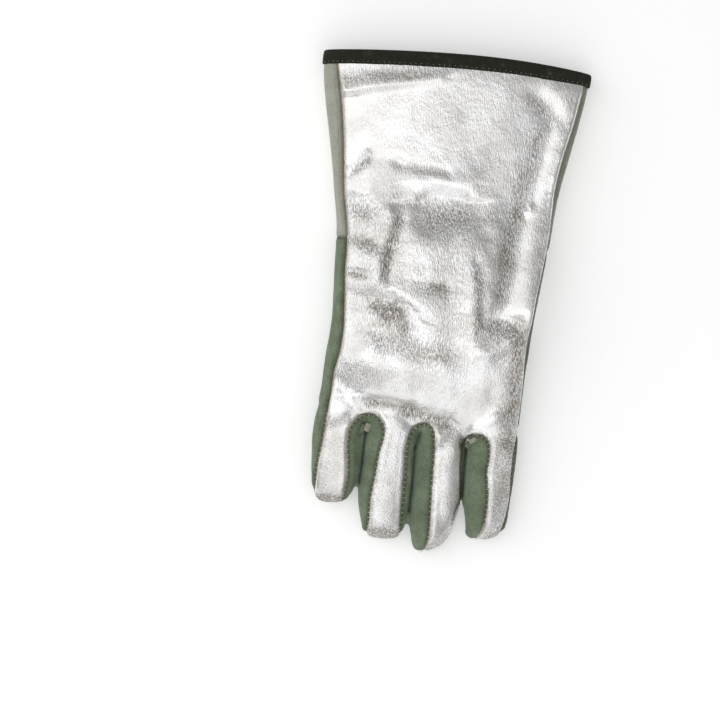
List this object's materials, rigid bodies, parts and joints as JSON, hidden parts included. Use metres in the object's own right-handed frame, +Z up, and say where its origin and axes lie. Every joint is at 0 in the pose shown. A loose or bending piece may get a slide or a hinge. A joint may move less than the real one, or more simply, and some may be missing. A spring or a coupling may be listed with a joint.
{
  "type": "aluminized glove",
  "caption": "Right-hand gauntlet work glove with an aluminized back, a green suede palm, a long flared leather cuff and a bound mouth, lying on its palm.",
  "frame": {"origin": "centre of the glove's outline on the surface that it lies on", "axes": "+X to the thumb side, +Y to the cuff's mouth, fingers towards -Y, +Z up out of the aluminized back"},
  "size_m": [0.1908, 0.3554, 0.0435],
  "materials": {
    "aluminized": "aluminized fabric, crinkled and bright",
    "green_suede": "grey-green split suede",
    "grey_suede": "pale grey split suede",
    "binding_tape": "black woven tape"
  },
  "bodies": {
    "root": {"back_shell": "aluminized", "thumb_back": "aluminized", "palm_leather": "green_suede", "little_front": "green_suede", "index_front": "green_suede", "middle_ring_front": "green_suede", "thumb_front": "green_suede", "thumb_root": "green_suede", "fourchette_little_ring": "green_suede", "fourchette_ring_middle": "green_suede", "fourchette_middle_index": "green_suede", "cuff_leather": "grey_suede", "side_welt": "grey_suede", "thumb_welt": "grey_suede", "finger_welt": "grey_suede", "index_tip_welt": "grey_suede", "crotch_tab_little_ring": "grey_suede", "crotch_tab_middle_index": "grey_suede", "cuff_binding": "binding_tape"}
  },
  "joints": []
}
